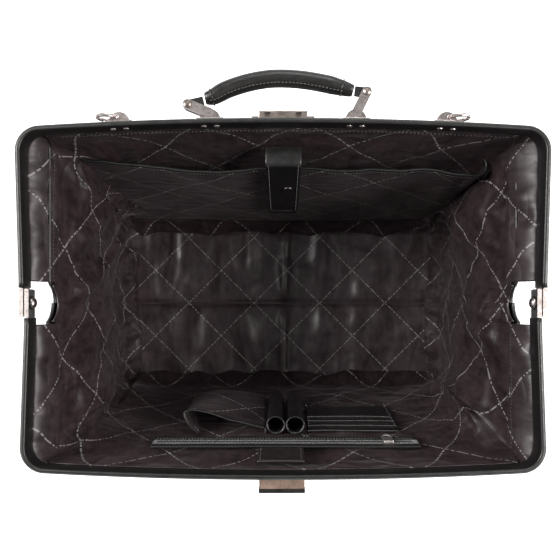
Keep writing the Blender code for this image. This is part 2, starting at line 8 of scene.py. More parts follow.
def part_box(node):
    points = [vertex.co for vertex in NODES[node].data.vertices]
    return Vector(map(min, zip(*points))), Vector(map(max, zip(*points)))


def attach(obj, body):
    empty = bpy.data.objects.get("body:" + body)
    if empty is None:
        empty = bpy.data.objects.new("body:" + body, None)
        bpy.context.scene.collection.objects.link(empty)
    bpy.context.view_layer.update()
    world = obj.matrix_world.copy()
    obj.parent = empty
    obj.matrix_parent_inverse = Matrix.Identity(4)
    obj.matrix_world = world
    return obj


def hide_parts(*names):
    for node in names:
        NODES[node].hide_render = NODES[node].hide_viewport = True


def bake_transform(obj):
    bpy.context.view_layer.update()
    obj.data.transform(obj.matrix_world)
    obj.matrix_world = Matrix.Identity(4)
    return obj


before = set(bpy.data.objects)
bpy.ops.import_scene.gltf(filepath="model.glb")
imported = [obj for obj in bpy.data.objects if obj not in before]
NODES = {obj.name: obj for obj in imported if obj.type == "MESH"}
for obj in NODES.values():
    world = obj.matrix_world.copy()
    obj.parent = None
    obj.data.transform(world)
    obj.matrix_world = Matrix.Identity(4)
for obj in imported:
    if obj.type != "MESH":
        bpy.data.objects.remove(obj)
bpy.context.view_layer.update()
MM = 0.001
BACK, FRONT = 1, -1
NAME = {BACK: "back", FRONT: "front"}
SIDE = {-1: "left", 1: "right"}

# ---------------------------------------------------------------- sizes, from the frame
strip_low, strip_high = (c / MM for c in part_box("back_frame_leather"))
STRIP_Z0, STRIP_Z1 = strip_low.z, strip_high.z
BACK_CORNER, BACK_REACH_MID = strip_high.x, strip_high.y
front_low, front_high = (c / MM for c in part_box("front_frame_leather"))
FRONT_CORNER, FRONT_REACH_MID = front_high.x, -front_low.y
PLATE_END = strip_low.y
BACK_NARROWS, FRONT_NARROWS = 3.4, 3.7  # how much narrower an arm stands at the hinge than at the corner
BACK_BOW, FRONT_BOW = 6.5, 5.5  # how far the bar's middle stands out past its corners
ARM_STRAIGHT = 16.0  # the arm runs straight this far from the hinge before it widens
STRIP = {  # half width at the hinge, at the corner, reach at the corner, reach in the middle
    BACK: (BACK_CORNER - BACK_NARROWS, BACK_CORNER, BACK_REACH_MID - BACK_BOW, BACK_REACH_MID),
    FRONT: (FRONT_CORNER - FRONT_NARROWS, FRONT_CORNER, FRONT_REACH_MID - FRONT_BOW, FRONT_REACH_MID),
}
STRIP_T, CORNER_R = 3.6, 21.0
STRIP_H, STRIP_MID = STRIP_Z1 - STRIP_Z0, (STRIP_Z0 + STRIP_Z1) / 2
LEAN = {BACK: math.tan(math.radians(8.75)), FRONT: math.tan(math.radians(7.6))}
WALL_Y, WALL_Z = 108.0, 13.0  # where a wall's slope starts
WALL_PROUD = 1.4  # the shell's outer face, outside that slope
NOMINAL_TOP = 300.0  # the height at which the outline has its full size
FLOOR_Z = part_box("floor_lining")[1].z / MM
GUSSET_X0, GUSSET_X1 = 209.5, 213.0
SHARE_GUSSET, SHARE_CORNER = 0.17, 0.05  # the parts of one half's outline that its gusset and corner take
SOFT_CORNER_R, SOFT_CORNER_GROWS = 16.0, 10.0  # the cloth's corner at the base, and how much it opens
SEWN_FROM = 258.0  # from here up the cloth leans over to the line it is sewn along
NOTCH_R, NOTCH_Z = 17.0, 287.0  # the half-moon under each hinge
SHELL_TOP = STRIP_Z0 + 0.6
SHELL_TUCK, LINING_TUCK = 16.5, 24.0  # how far the cut edges stop short of the rim on a gusset
LINING_IN = 3.6  # the lining's face, inside the shell's outer face
AROUND_Z = 200.0  # distances along the cloth are taken from the outline at this height


# ---------------------------------------------------------------- material building
class Nodes:
    """A material's node tree, with short calls for the nodes used here."""

    def __init__(self, name):
        self.mat = bpy.data.materials.new(name)
        self.mat.use_nodes = True
        self.tree = self.mat.node_tree
        self.shader = self.tree.nodes["Principled BSDF"]
        self.object = self.add("ShaderNodeTexCoord").outputs["Object"]

    def add(self, kind, **inputs):
        node = self.tree.nodes.new(kind)
        for key, value in inputs.items():
            self.set(node, key.replace("_", " "), value)
        return node

    def set(self, node, key, value):
        socket = node.inputs[key]
        if isinstance(value, bpy.types.NodeSocket):
            self.tree.links.new(value, socket)
        else:
            socket.default_value = value

    def math(self, operation, a, b=0.0):
        node = self.tree.nodes.new("ShaderNodeMath")
        node.operation = operation
        self.set(node, 0, a)
        self.set(node, 1, b)
        return node.outputs[0]

    def noise(self, scale, detail=4.0, vector=None, stretch=None, roughness=0.55):
        vector = vector or self.object
        if stretch:
            mapping = self.add("ShaderNodeMapping", Vector=vector, Scale=stretch)
            vector = mapping.outputs[0]
        node = self.add("ShaderNodeTexNoise", Vector=vector, Scale=scale, Detail=detail, Roughness=roughness)
        return node.outputs["Fac"]

    def ramp(self, value, low, high):
        """value from low to high, turned to 0 to 1."""
        node = self.add("ShaderNodeMapRange", Value=value)
        node.inputs["From Min"].default_value = low
        node.inputs["From Max"].default_value = high
        return node.outputs["Result"]

    def mix(self, factor, a, b):
        node = self.tree.nodes.new("ShaderNodeMix")
        node.data_type = "RGBA"
        for key, value in (("Factor", factor), ("A", a), ("B", b)):
            place = [i for i, s in enumerate(node.inputs) if s.name == key and s.enabled][0]
            self.set(node, place, (*value, 1.0) if isinstance(value, tuple) else value)
        return [s for s in node.outputs if s.enabled][0]

    def bump(self, height, strength, distance, normal=None):
        node = self.add("ShaderNodeBump", Height=height, Strength=strength, Distance=distance)
        if normal:
            self.tree.links.new(normal, node.inputs["Normal"])
        return node.outputs["Normal"]

    def end(self, **inputs):
        """Set the shader's sockets, with colours as three numbers, and give the material."""
        for key, value in inputs.items():
            if isinstance(value, tuple):
                value = (*value, 1.0)
            self.set(self.shader, key.replace("_", " "), value)
        return self.mat


def leather(name, dark, light, grain=900.0, rough=(0.34, 0.55), depth=0.00025, coat=0.06):
    """Fine pebbled leather: small cells, broad creases, and a patchy polish."""
    n = Nodes(name)
    cells = n.add("ShaderNodeTexVoronoi", Vector=n.object, Scale=grain)
    cells.feature = "SMOOTH_F1"
    broad = n.noise(75.0, 6.0)
    fine = n.noise(grain * 0.6, 3.0)
    colour = n.mix(n.ramp(broad, 0.3, 0.8), dark, light)
    polish = n.ramp(n.noise(140.0, 5.0), 0.3, 0.7)
    roughness = n.math("ADD", rough[0], n.math("MULTIPLY", polish, rough[1] - rough[0]))
    normal = n.bump(cells.outputs["Distance"], 0.55, depth)
    normal = n.bump(fine, 0.25, depth * 0.6, normal)
    normal = n.bump(broad, 0.12, 0.0012, normal)
    return n.end(Base_Color=colour, Roughness=roughness, Normal=normal, Coat_Weight=coat, Coat_Roughness=0.35)


def suede(name, dark, light):
    """The fibrous flesh side of a hide."""
    n = Nodes(name)
    nap = n.noise(900.0, 8.0, stretch=(1.0, 0.45, 1.0), roughness=0.75)
    patch = n.noise(70.0, 5.0)
    shade = n.math("ADD", n.math("MULTIPLY", nap, 0.6), n.math("MULTIPLY", patch, 0.4))
    colour = n.mix(n.ramp(shade, 0.38, 0.66), dark, light)
    normal = n.bump(nap, 0.6, 0.0005)
    return n.end(Base_Color=colour, Roughness=0.92, Normal=normal, Sheen_Weight=0.35, Sheen_Roughness=0.5)


def metal(name, colour, worn, rough=0.26, scratch=0.35):
    """Plated metal that is rubbed and slightly tarnished."""
    n = Nodes(name)
    tarnish = n.ramp(n.noise(120.0, 6.0, roughness=0.65), 0.42, 0.68)
    lines = n.noise(260.0, 6.0, stretch=(1.0, 9.0, 1.0), roughness=0.7)
    roughness = n.math("ADD", rough, n.math("MULTIPLY", n.ramp(lines, 0.35, 0.75), scratch * 0.5))
    normal = n.bump(lines, 0.12, 0.0002)
    normal = n.bump(n.noise(420.0, 3.0), 0.08, 0.0003, normal)
    return n.end(Base_Color=n.mix(tarnish, colour, worn), Metallic=1.0, Roughness=roughness, Normal=normal)


DIAMOND_M, DASH_HIGH_M, DASH_LONG_M = 0.087, 0.00095, 0.0036
LATTICE_SHIFT_M = 10.0  # moves the whole lattice, so that no row crosses zero
LATTICE_GAPS, LATTICE_COVER, LATTICE_GREY = 0.48, 0.8, (0.21, 0.2, 0.2)


def lattice(n, u, v):
    """Two sets of diagonal rows of dashes that cross in diamonds, as 0 or 1."""
    rows = []
    up, down = n.math("ADD", u, v), n.math("SUBTRACT", u, v)
    for across, along in ((up, down), (down, up)):
        turns = n.math("DIVIDE", n.math("ADD", across, LATTICE_SHIFT_M), DIAMOND_M)
        off = n.math("ABSOLUTE", n.math("SUBTRACT", n.math("FRACT", turns), 0.5))
        line = n.math("LESS_THAN", off, DASH_HIGH_M / DIAMOND_M)
        steps = n.math("MULTIPLY", along, 1.0 / DASH_LONG_M)
        seed = n.add("ShaderNodeCombineXYZ", X=steps, Y=n.math("FLOOR", turns))
        marks = n.add("ShaderNodeTexNoise", Vector=seed.outputs[0], Scale=1.0, Detail=0.0)
        rows.append(n.math("MULTIPLY", line, n.math("GREATER_THAN", marks.outputs["Fac"], LATTICE_GAPS)))
    return n.math("MAXIMUM", *rows)


def satin(name, dark, light, slack=1.0, dull=0.31):
    """Charcoal lining satin: a fine warp, soft creases, and a diamond lattice of small pale dashes."""
    n = Nodes(name)
    place = n.add("ShaderNodeUVMap").outputs[0]
    split = n.add("ShaderNodeSeparateXYZ", Vector=place)
    u, v = split.outputs[0], split.outputs[1]
    broad = n.noise(11.0, 1.5, vector=place, stretch=(1.3, 0.6, 1.0))
    ridges = n.math("ABSOLUTE", n.math("SUBTRACT", broad, 0.5))
    narrow = n.noise(26.0, 1.0, vector=place, stretch=(0.7, 1.6, 1.0))
    pulls = n.math("ABSOLUTE", n.math("SUBTRACT", narrow, 0.5))
    creases = n.noise(34.0, 5.0, vector=place, roughness=0.6)
    small = n.noise(110.0, 4.0, vector=place, stretch=(1.6, 0.7, 1.0))
    warp = n.noise(2600.0, 2.0, vector=place, stretch=(1.0, 0.12, 1.0))
    tint = n.math("ADD", n.math("MULTIPLY", creases, 0.55), n.math("MULTIPLY", small, 0.45))
    colour = n.mix(n.ramp(tint, 0.38, 0.64), dark, light)
    mark = n.math("MULTIPLY", lattice(n, u, v), LATTICE_COVER)
    colour = n.mix(mark, colour, LATTICE_GREY)
    roughness = n.math("ADD", dull, n.math("MULTIPLY", n.ramp(creases, 0.3, 0.7), 0.14))
    normal = n.bump(ridges, 0.7 * slack, 0.03)
    normal = n.bump(pulls, 0.45 * slack, 0.012, normal)
    normal = n.bump(creases, 0.16 * slack, 0.006, normal)
    normal = n.bump(small, 0.14, 0.0014, normal)
    normal = n.bump(warp, 0.12, 0.0001, normal)
    return n.end(Base_Color=colour, Roughness=roughness, Normal=normal, Sheen_Weight=0.06,
                 Sheen_Roughness=0.35, Sheen_Tint=(0.75, 0.66, 0.68))


BLACK, SOOT = (0.005, 0.0046, 0.0046), (0.0095, 0.0087, 0.0085)
LINING_DARK, LINING_LIGHT = (0.0105, 0.0062, 0.007), (0.032, 0.0205, 0.0225)
shell_mat = leather("black_leather", BLACK, SOOT, 620.0)
rim_mat = leather("rim_leather", BLACK, (0.008, 0.0074, 0.0072), 1100.0, (0.34, 0.5), 0.00012, 0.05)
trim_mat = leather("trim_leather", (0.0035, 0.0032, 0.0032), (0.0065, 0.006, 0.0058), 1000.0,
                   (0.36, 0.52), 0.0001, 0.05)
grip_mat = leather("grip_leather", (0.004, 0.0038, 0.0038), (0.0085, 0.0078, 0.0074), 800.0,
                   (0.3, 0.48), 0.00015, 0.08)
# the piping on the rim's top edge: its light greenish-grey is a painted highlight, not the black leather's own
# colour
piping_highlight_mat = leather("piping_painted_highlight", (0.022, 0.025, 0.022), (0.05, 0.054, 0.048), 500.0,
                     (0.3, 0.5), 0.0001, 0.3)
slot_mat = leather("slot_leather", (0.003, 0.0028, 0.0028), (0.006, 0.0055, 0.0055), 900.0,
                   (0.24, 0.4), 0.0001, 0.3)
edge_mat = leather("burnished_edge", (0.012, 0.011, 0.011), (0.03, 0.028, 0.027), 500.0,
                   (0.2, 0.35), 0.0001, 0.5)
welt_mat = leather("welt_leather", (0.0022, 0.002, 0.002), (0.0045, 0.004, 0.0038), 900.0,
                   (0.55, 0.7), 0.0001, 0.0)
patch_mat = leather("patch_leather", (0.007, 0.0048, 0.0046), (0.014, 0.0098, 0.0092), 800.0,
                    (0.5, 0.65), 0.0001, 0.0)
lining_mat = satin("charcoal_satin", LINING_DARK, LINING_LIGHT)
facing_mat = satin("facing_satin", LINING_DARK, LINING_LIGHT, slack=0.8, dull=0.42)
floor_mat = satin("floor_satin", (0.0155, 0.0098, 0.0108), (0.047, 0.031, 0.034), slack=0.3)
pocket_mat = satin("pocket_satin", (0.0075, 0.0048, 0.0054), (0.022, 0.015, 0.0165), slack=0.4)
thread_mat = suede("dark_thread", (0.02, 0.019, 0.019), (0.06, 0.056, 0.055))
suede_mat = suede("brown_flesh_side", (0.1, 0.062, 0.045), (0.26, 0.18, 0.14))
tape_mat = suede("zip_tape_weave", (0.008, 0.0075, 0.008), (0.02, 0.018, 0.019))
bright_mat = metal("bright_nickel", (0.8, 0.76, 0.73), (0.55, 0.5, 0.47), 0.34, 0.3)
nickel_mat = metal("worn_nickel", (0.54, 0.49, 0.475), (0.3, 0.26, 0.24))
lock_mat = metal("dull_nickel", (0.33, 0.285, 0.26), (0.17, 0.14, 0.125), 0.3, 0.5)
steel_mat = metal("strip_steel", (0.4, 0.4, 0.41), (0.24, 0.23, 0.22), 0.36, 0.6)
dark_metal_mat = metal("gunmetal", (0.08, 0.075, 0.075), (0.045, 0.042, 0.04), 0.35, 0.5)


# ---------------------------------------------------------------- mesh building
def piece(name, points, faces, mat, uvs=None, smooth=True):
    """A mesh object from points in millimetres; uvs are one pair in metres for each point."""
    mesh = bpy.data.meshes.new(name)
    mesh.from_pydata([Vector(p) * MM for p in points], [], faces)
    ob = bpy.data.objects.new(name, mesh)
    bpy.context.scene.collection.objects.link(ob)
    mesh.materials.append(mat)
    if uvs:
        layer = mesh.uv_layers.new(name="cloth")
        for loop in mesh.loops:
            layer.data[loop.index].uv = uvs[loop.vertex_index]
    bm = bmesh.new()
    bm.from_mesh(mesh)
    bmesh.ops.recalc_face_normals(bm, faces=bm.faces)
    for face in bm.faces:
        face.smooth = smooth
    bm.to_mesh(mesh)
    bm.free()
    return ob


def thicken(ob, thickness, offset=-1.0):
    """Gives a sheet its thickness; offset -1 grows it against its normals."""
    mod = ob.modifiers.new("thickness", "SOLIDIFY")
    mod.thickness = thickness * MM
    mod.offset = offset
    mod.use_even_offset = False  # an even offset throws spikes where the cloth folds sharply
    return ob


def grid(name, across, up, place, mat, thickness=0.0, offset=-1.0, uv=None):
    """A sheet of across by up cells; place(s, t) gives its point for s and t from 0 to 1."""
    points, uvs = [], []
    for j in range(up + 1):
        for i in range(across + 1):
            s, t = i / across, j / up
            p = Vector(place(s, t))
            points.append(p)
            uvs.append(uv(s, t, p) if uv else (p.x * MM, p.z * MM))
    row = across + 1
    faces = [(j * row + i, j * row + i + 1, (j + 1) * row + i + 1, (j + 1) * row + i)
             for j in range(up) for i in range(across)]
    ob = piece(name, points, faces, mat, uvs)
    return thicken(ob, thickness, offset) if thickness else ob


def smooth_path(points, steps=6):
    """A curve through the points (Catmull-Rom), as a list of vectors."""
    pts = [Vector(p) for p in points]
    pts = [pts[0] * 2 - pts[1]] + pts + [pts[-1] * 2 - pts[-2]]
    out = []
    for a, b, c, d in zip(pts, pts[1:], pts[2:], pts[3:]):
        for k in range(steps):
            t = k / steps
            out.append(0.5 * (2 * b + (c - a) * t + (2 * a - 5 * b + 4 * c - d) * t**2
                              + (3 * b - a - 3 * c + d) * t**3))
    return out + [pts[-2]]


def at(path, t):
    """The point at share t of a path's steps."""
    f = max(0.0, min(t, 1.0)) * (len(path) - 1)
    i = min(int(f), len(path) - 2)
    return path[i].lerp(path[i + 1], f - i)


def sweep(name, path, profile, mat, up=Vector((0, 0, 1)), scale=None, closed=False):
    """A closed profile of (side, up) points carried along a path; scale gives its size at each step."""
    points, faces = [], []
    count, n = len(path), len(profile)
    for i, p in enumerate(path):
        if closed:
            along = path[(i + 1) % count] - path[i - 1]
        else:
            along = path[min(i + 1, count - 1)] - path[max(i - 1, 0)]
        side = along.cross(up).normalized()
        above = side.cross(along).normalized()
        size = scale(i / (count - 1)) if scale else 1.0
        points += [p + (side * a + above * b) * size for a, b in profile]
    for i in range(count if closed else count - 1):
        j = (i + 1) % count
        faces += [(i * n + k, i * n + (k + 1) % n, j * n + (k + 1) % n, j * n + k) for k in range(n)]
    if not closed:
        faces += [tuple(range(n)), tuple(range((count - 1) * n, count * n))]
    return piece(name, points, faces, mat)


def ring_profile(radius, count=8):
    """A round profile."""
    turns = [2 * math.pi * k / count for k in range(count)]
    return [(radius * math.cos(a), radius * math.sin(a)) for a in turns]


def rounded_box(width, height, radius, steps=3):
    """A rectangle with round corners, centred on zero."""
    out = []
    for cx, cy, start in ((1, 1, 0), (-1, 1, 90), (-1, -1, 180), (1, -1, 270)):
        for k in range(steps + 1):
            a = math.radians(start + 90 * k / steps)
            out.append((cx * (width / 2 - radius) + radius * math.cos(a),
                        cy * (height / 2 - radius) + radius * math.sin(a)))
    return out


def stitches(name, path, normal, mat=None, step=3.4, length=2.5, radius=0.32, lift=0.15):
    """A row of single stitches along a path. normal points out of the material: a function of the point,
    or a list with one direction for each point of the path."""
    points, faces = [], []
    lengths = [0.0]
    for a, b in zip(path, path[1:]):
        lengths.append(lengths[-1] + (b - a).length)
    total, i, run = lengths[-1], 0, step / 2
    while run < total - length / 2:
        while lengths[i + 1] < run:
            i += 1
        along = (path[i + 1] - path[i]).normalized()
        p = path[i] + along * (run - lengths[i])
        out = Vector(normal[i] if isinstance(normal, list) else normal(p)).normalized()
        side = along.cross(out).normalized()
        p = p + out * lift
        first = len(points)
        points += [p - along * length / 2 - out * radius, p + along * length / 2 - out * radius]
        for f in (-0.3, 0.3):
            points += [p + along * length * f + d * radius for d in (side, out, -side, -out)]
        a, b = first, first + 1
        r, s = first + 2, first + 6
        for k in range(4):
            m = (k + 1) % 4
            faces += [(a, r + m, r + k), (r + k, r + m, s + m, s + k), (b, s + k, s + m)]
        run += step
    return piece(name, points, faces, mat or thread_mat)


def with_wall(ob, half):
    """Bakes the piece's transform into its mesh."""
    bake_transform(ob)
    return ob


# ---------------------------------------------------------------- the bag's shape
def wall_y(z, half):
    """How far a wall's outer face stands from the middle at height z."""
    return WALL_Y + (z - WALL_Z) * LEAN[half] + WALL_PROUD


def gusset_x(z):
    """How far a gusset's outer face stands from the middle at height z."""
    return GUSSET_X0 + (GUSSET_X1 - GUSSET_X0) * z / NOMINAL_TOP


def arm_x(half, y):
    """How far a frame arm's outer face stands from the middle, y along the arm from the hinge."""
    at_hinge, corner, reach = STRIP[half][:3]
    return at_hinge + (corner - at_hinge) * max(0.0, y - ARM_STRAIGHT) / (reach - CORNER_R - ARM_STRAIGHT)


def bar_y(half, x):
    """How far a frame bar's outer face stands from the middle at x."""
    corner, reach, mid = STRIP[half][1:]
    return reach + (mid - reach) * (1 - (x / (corner - CORNER_R)) ** 2)


def ease(value, low, high):
    """0 below low, 1 above high, and a smooth rise between."""
    t = max(0.0, min(1.0, (value - low) / (high - low)))
    return t * t * (3 - 2 * t)


def rim_point(half, q, inset, z):
    """The point under the frame strip that share q (up to 0.5) of one half's outline is sewn to."""
    corner, reach = STRIP[half][1:3]
    cx, cy, r = corner - CORNER_R, reach - CORNER_R, CORNER_R - inset
    if q < SHARE_GUSSET:
        y = cy * q / SHARE_GUSSET
        return Vector((-arm_x(half, y) + inset, y))
    if q < SHARE_GUSSET + SHARE_CORNER:
        a = (q - SHARE_GUSSET) / SHARE_CORNER * math.pi / 2
        return Vector((-cx - r * math.cos(a), cy + r * math.sin(a)))
    x = -cx * (0.5 - q) / (0.5 - SHARE_GUSSET - SHARE_CORNER)
    return Vector((x, bar_y(half, x) - inset))


def section(z, half, inset, s):
    """The bag's outline at height z for share s of one half: hinge, gusset, corner, wall, and back.
    Returns the point, the outward direction and the distance along the outline."""
    w, d = gusset_x(z) - inset, wall_y(z, half) - inset
    r = SOFT_CORNER_R + SOFT_CORNER_GROWS * z / NOMINAL_TOP - inset * 0.5
    bow = (STRIP[half][3] - STRIP[half][2]) * (z / NOMINAL_TOP) ** 2
    side, turn, wall = d - r, r * math.pi / 2, 2 * (w - r)
    mark = [SHARE_GUSSET, SHARE_GUSSET + SHARE_CORNER]
    mirror = s > 0.5
    q = 1 - s if mirror else s
    if q < mark[0]:
        f = q / mark[0]
        p, out, run = Vector((-w, side * f)), Vector((-1, 0)), side * f
    elif q < mark[1]:
        a = (q - mark[0]) / SHARE_CORNER * math.pi / 2
        out = Vector((-math.cos(a), math.sin(a)))
        p = Vector((-w + r, side)) + out * r
        run = side + r * a
    else:
        f = (q - mark[1]) / (0.5 - mark[1])
        x = -(w - r) * (1 - f)
        p, out = Vector((x, d + bow * (1 - (x / (w - r)) ** 2))), Vector((0, 1))
        run = side + turn + wall / 2 * f
    sewn = ease(z, SEWN_FROM, STRIP_Z0) * ease(p.y, 9.0, 30.0)
    p = p.lerp(rim_point(half, q, 1.5 + inset * 0.55, z), sewn)
    p.x = max(p.x, -(gusset_x(z) - inset))  # the frame's arms must swing past outside the gusset
    if mirror:
        p.x, out.x, run = -p.x, -out.x, 2 * (side + turn) + wall - run
    return Vector((p.x, half * p.y, z)), Vector((out.x, half * out.y, 0)), run


def crowd(s):
    """Bunch a grid's columns towards both ends of the outline, where the half-moons are cut."""
    q = 0.5 * (2 * min(s, 1 - s)) ** 1.5
    return q if s < 0.5 else 1 - q


def edge_top(s, half, top, tuck):
    """The height of the bag's cut edge: the rim, tucked under the facing on a gusset, or the half-moon."""
    q = min(s, 1 - s)
    top -= tuck * (1 - ease(q, SHARE_GUSSET + SHARE_CORNER * 0.3, SHARE_GUSSET + SHARE_CORNER * 0.9))
    y = q / SHARE_GUSSET * (wall_y(280.0, half) - 25.0)
    if y < NOTCH_R - 0.3:
        return NOTCH_Z - math.sqrt(NOTCH_R**2 - y**2)
    return top


def folds(x, y, z, seed, tall=150.0, wide=42.0):
    """Soft upright folds, as a height in millimetres."""
    a = noise.noise(Vector((x / wide, y / wide, z / tall + seed)))
    b = noise.noise(Vector((x / (wide * 0.38), y / (wide * 0.38), z / (tall * 0.55) + seed * 3 + 9)))
    return 2.4 * a + 1.0 * b


def creases(x, y, z, seed, tall, wide):
    """Sharp ridges in slack cloth, from 0 to about 1."""
    a = abs(noise.noise(Vector((x / wide, y / wide, z / tall + seed))))
    b = abs(noise.noise(Vector((x / wide * 2.1 + 5, y / wide * 2.1, z / tall * 1.7 + seed * 2))))
    return max(0.0, 1.0 - 3.2 * a) * 0.75 + max(0.0, 1.0 - 3.6 * b) * 0.3


def shell(half):
    low = 5.0

    def place(s, t):
        s = crowd(s)
        top = edge_top(s, half, SHELL_TOP, SHELL_TUCK)
        z = low + (top - low) * t
        p, out, run = section(z, half, 0.0, s)
        return p + out * 0.5 * folds(p.x, p.y, z, 3.0, 120, 70) * math.sin(math.pi * min(t * 1.02, 1))

    return grid(f"shell_{NAME[half]}", 180, 44, place, shell_mat, 2.0, -half)


FACING_IN, FACING_LOW = GUSSET_X1 - 5.6, 272.0  # where the facing's inner edge lies
FACING_SAG = 3.2
FACING_SKIN_OUT, FACING_SKIN_DOWN = 1.7, 1.5  # the leather behind the facing's cloth


def facing(half, side):
    """The turned-in cloth edge beside one arm of a frame: it slopes from the strip in over the gusset."""
    arm = f"{NAME[half]}_{SIDE[side]}"
    body = NAME[half] + "_frame"
    first = 19.0 / (STRIP[half][2] - CORNER_R) * SHARE_GUSSET
    last = SHARE_GUSSET + SHARE_CORNER * 0.95

    def place(s, t):
        edge = rim_point(half, first + (last - first) * s, 2.4, SHELL_TOP)
        outer = max(abs(edge.x), FACING_IN + 0.3)
        x = outer + (FACING_IN + 0.8 * noise.noise(Vector((edge.y / 22, side, half))) - outer) * t
        sag = noise.noise(Vector((edge.y / 17.0, half * 5.0 + side, 0.4 * t)))
        x -= FACING_SAG * math.sin(math.pi * t) * (0.5 + sag)
        pucker = 0.35 * noise.noise(Vector((edge.y / 5.0, half * 3.0 + side, t)))
        z = SHELL_TOP - 0.6 - (SHELL_TOP - FACING_LOW) * t**1.4 + pucker
        return Vector((side * x, half * edge.y, z))

    def behind(s, t):
        return place(s, t) + Vector((side * FACING_SKIN_OUT, 0, -FACING_SKIN_DOWN))

    def cloth_uv(s, t, p):
        q = first + (last - first) * s
        return section(AROUND_Z, half, LINING_IN, q if side < 0 else 1 - q)[2] * MM, p.z * MM

    ob = grid(f"facing_{arm}", 110, 12, place, facing_mat, 1.1, side * half, cloth_uv)
    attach(ob, body)
    skin = grid(f"facing_{arm}_leather", 110, 8, behind, shell_mat, 1.0, side * half, cloth_uv)
    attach(skin, body)
    line = [place(k / 150, 0.84) for k in range(151)]
    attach(stitches(f"facing_seam_{arm}", line, lambda p: (0, 0, 1), step=3.6, lift=0.7), body)


def gusset_fold(side):
    """The leather-covered seam down the middle of a gusset, up to the half-moon."""
    line = [Vector((side * (gusset_x(z) + 0.4), 0, z)) for z in range(6, int(NOTCH_Z - NOTCH_R) - 1, 4)]
    seam = sweep(f"gusset_{SIDE[side]}_fold", line, rounded_box(7.0, 2.6, 1.2), shell_mat,
                 up=Vector((side, 0, 0)))
    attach(seam, "base")


for half in (BACK, FRONT):
    for side in SIDE:
        facing(half, side)
for side in SIDE:
    gusset_fold(side)

CORNER_WEB = {BACK: (9.0, 8.0), FRONT: (12.0, 26.0)}  # how far the cloth cuts across, left and right
CORNER_WEB_WIDE = 34.0
GUSSET_FALL = 13.0  # how far the gusset's cloth falls inwards half-way up
ROLL_HIGH = 30.0  # the cloth starts rolling over on to the floor at this height


def lining(half):
    low = FLOOR_Z + 1.5

    def place(s, t):
        s = crowd(s)
        top = edge_top(s, half, SHELL_TOP - 0.8, LINING_TUCK)
        z = low + (top - low) * t
        p, out, run = section(z, half, LINING_IN, s)
        hold = min(1.0, (1 - t) * 7) * min(1.0, t * 10 + 0.3)
        slack = ease(abs(p.x), 150.0, 205.0)
        deep = (1.1 + 1.7 * slack) * folds(p.x, p.y, z, 7.0, 190, 44) + 0.8
        deep += (2.0 + 6.5 * slack) * creases(p.x + 0.3 * z, p.y + 0.3 * z, z, 4.0, 260, 62)
        deep += GUSSET_FALL * ease(abs(p.x), 198.0, 207.0) * ease(z, 60, 170) * (1 - ease(z, 175, 290))
        # the cloth cuts across the corners and rolls over on to the floor
        side_x, side_y = math.copysign(1, p.x), math.copysign(1, p.y)
        gap = Vector((side_x * gusset_x(z), side_y * wall_y(z, half))) - Vector((p.x, p.y))
        web = CORNER_WEB[half][0 if p.x < 0 else 1] * math.exp(-(gap.length / CORNER_WEB_WIDE) ** 2)
        web *= hold * ease(z, 20, 110) * (1 - ease(z, 215, 285))
        reach = 14.0 + 11.0 * noise.noise(Vector((p.x / 38, p.y / 38, 2.0)))
        roll = reach * (1 - ease(z, low, low + ROLL_HIGH)) ** 1.5
        moved = p - out * (max(-0.9, deep) * hold + roll)
        return moved - Vector((side_x, side_y, 0)) * web * 0.7

    def uv(s, t, p):
        return section(AROUND_Z, half, LINING_IN, crowd(s))[2] * MM, p.z * MM

    return grid(f"lining_{NAME[half]}", 260, 84, place, lining_mat, 0.8, half, uv)


RIM_SEAM_Z, RIM_SEAM_FIRST = 292.0, 0.215
for half in (BACK, FRONT):
    wall_name = NAME[half]
    ob = with_wall(shell(half), half)
    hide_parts(f"{wall_name}_wall_leather")
    if half == BACK:
        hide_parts("left_gusset", "right_gusset")
    ob = with_wall(lining(half), half)
    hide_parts(f"{wall_name}_lining")
    if half == BACK:
        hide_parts("left_gusset_lining", "right_gusset_lining")
    seam, inward = [], []
    for k in range(181):
        p, out, run = section(RIM_SEAM_Z, half, LINING_IN, RIM_SEAM_FIRST + (1 - 2 * RIM_SEAM_FIRST) * k / 180)
        seam.append(p)
        inward.append(-out)
    with_wall(stitches(f"rim_seam_{wall_name}", seam, inward, step=3.6, lift=0.5), half)


# ---------------------------------------------------------------- floor of the bag
def floor_point(s, t):
    """The satin over the base board: two soft panels either side of a seam, with a fold across."""
    w = section(FLOOR_Z + 2.0, BACK, LINING_IN, 0.0)[0].x
    d = wall_y(FLOOR_Z, BACK) - LINING_IN
    x, y = w + (-2 * w) * s, -d + 2 * d * t
    seam = 3.4 * math.exp(-(y / 3.0) ** 2)
    fold = 4.5 * math.exp(-((x - 2 - y * 0.03) / 5.5) ** 2) * min(1, abs(y) / 25)
    fold += 3.6 * creases(x * 0.9, y * 0.28, 0, 17.0, 90, 46) * min(1, abs(y) / 18)
    edge = min(1.0, (d - abs(y)) / 14, (abs(w) - abs(x)) / 14)
    swell = (1.8 + 1.6 * folds(x * 0.8, y, 0, 31.0, 90, 60)) * max(0.0, edge)
    return Vector((x, y, FLOOR_Z + 0.7 + max(0.0, swell + fold * edge - seam * 0.6)))


floor_cloth = grid("floor_satin", 150, 84, floor_point, floor_mat, 0.6, 1,
                   lambda s, t, p: (p.x * MM, p.y * MM))
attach(floor_cloth, "base")
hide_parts("floor_lining")
w_floor = GUSSET_X0 - LINING_IN - 4
floor_seam = [Vector((x, 0.0, FLOOR_Z + 1.0)) for x in range(-int(w_floor), int(w_floor) + 1, 3)]
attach(sweep("floor_seam", floor_seam, ring_profile(0.8, 6), lining_mat), "base")


def base_loop(out, z):
    """A loop round the base at height z, standing out from the gussets."""
    corners = rounded_box(2 * (GUSSET_X0 + out), 2 * (WALL_Y + 1.0 + out), 15.0 + out, 7)
    return [Vector((x, y, z)) for x, y in corners]


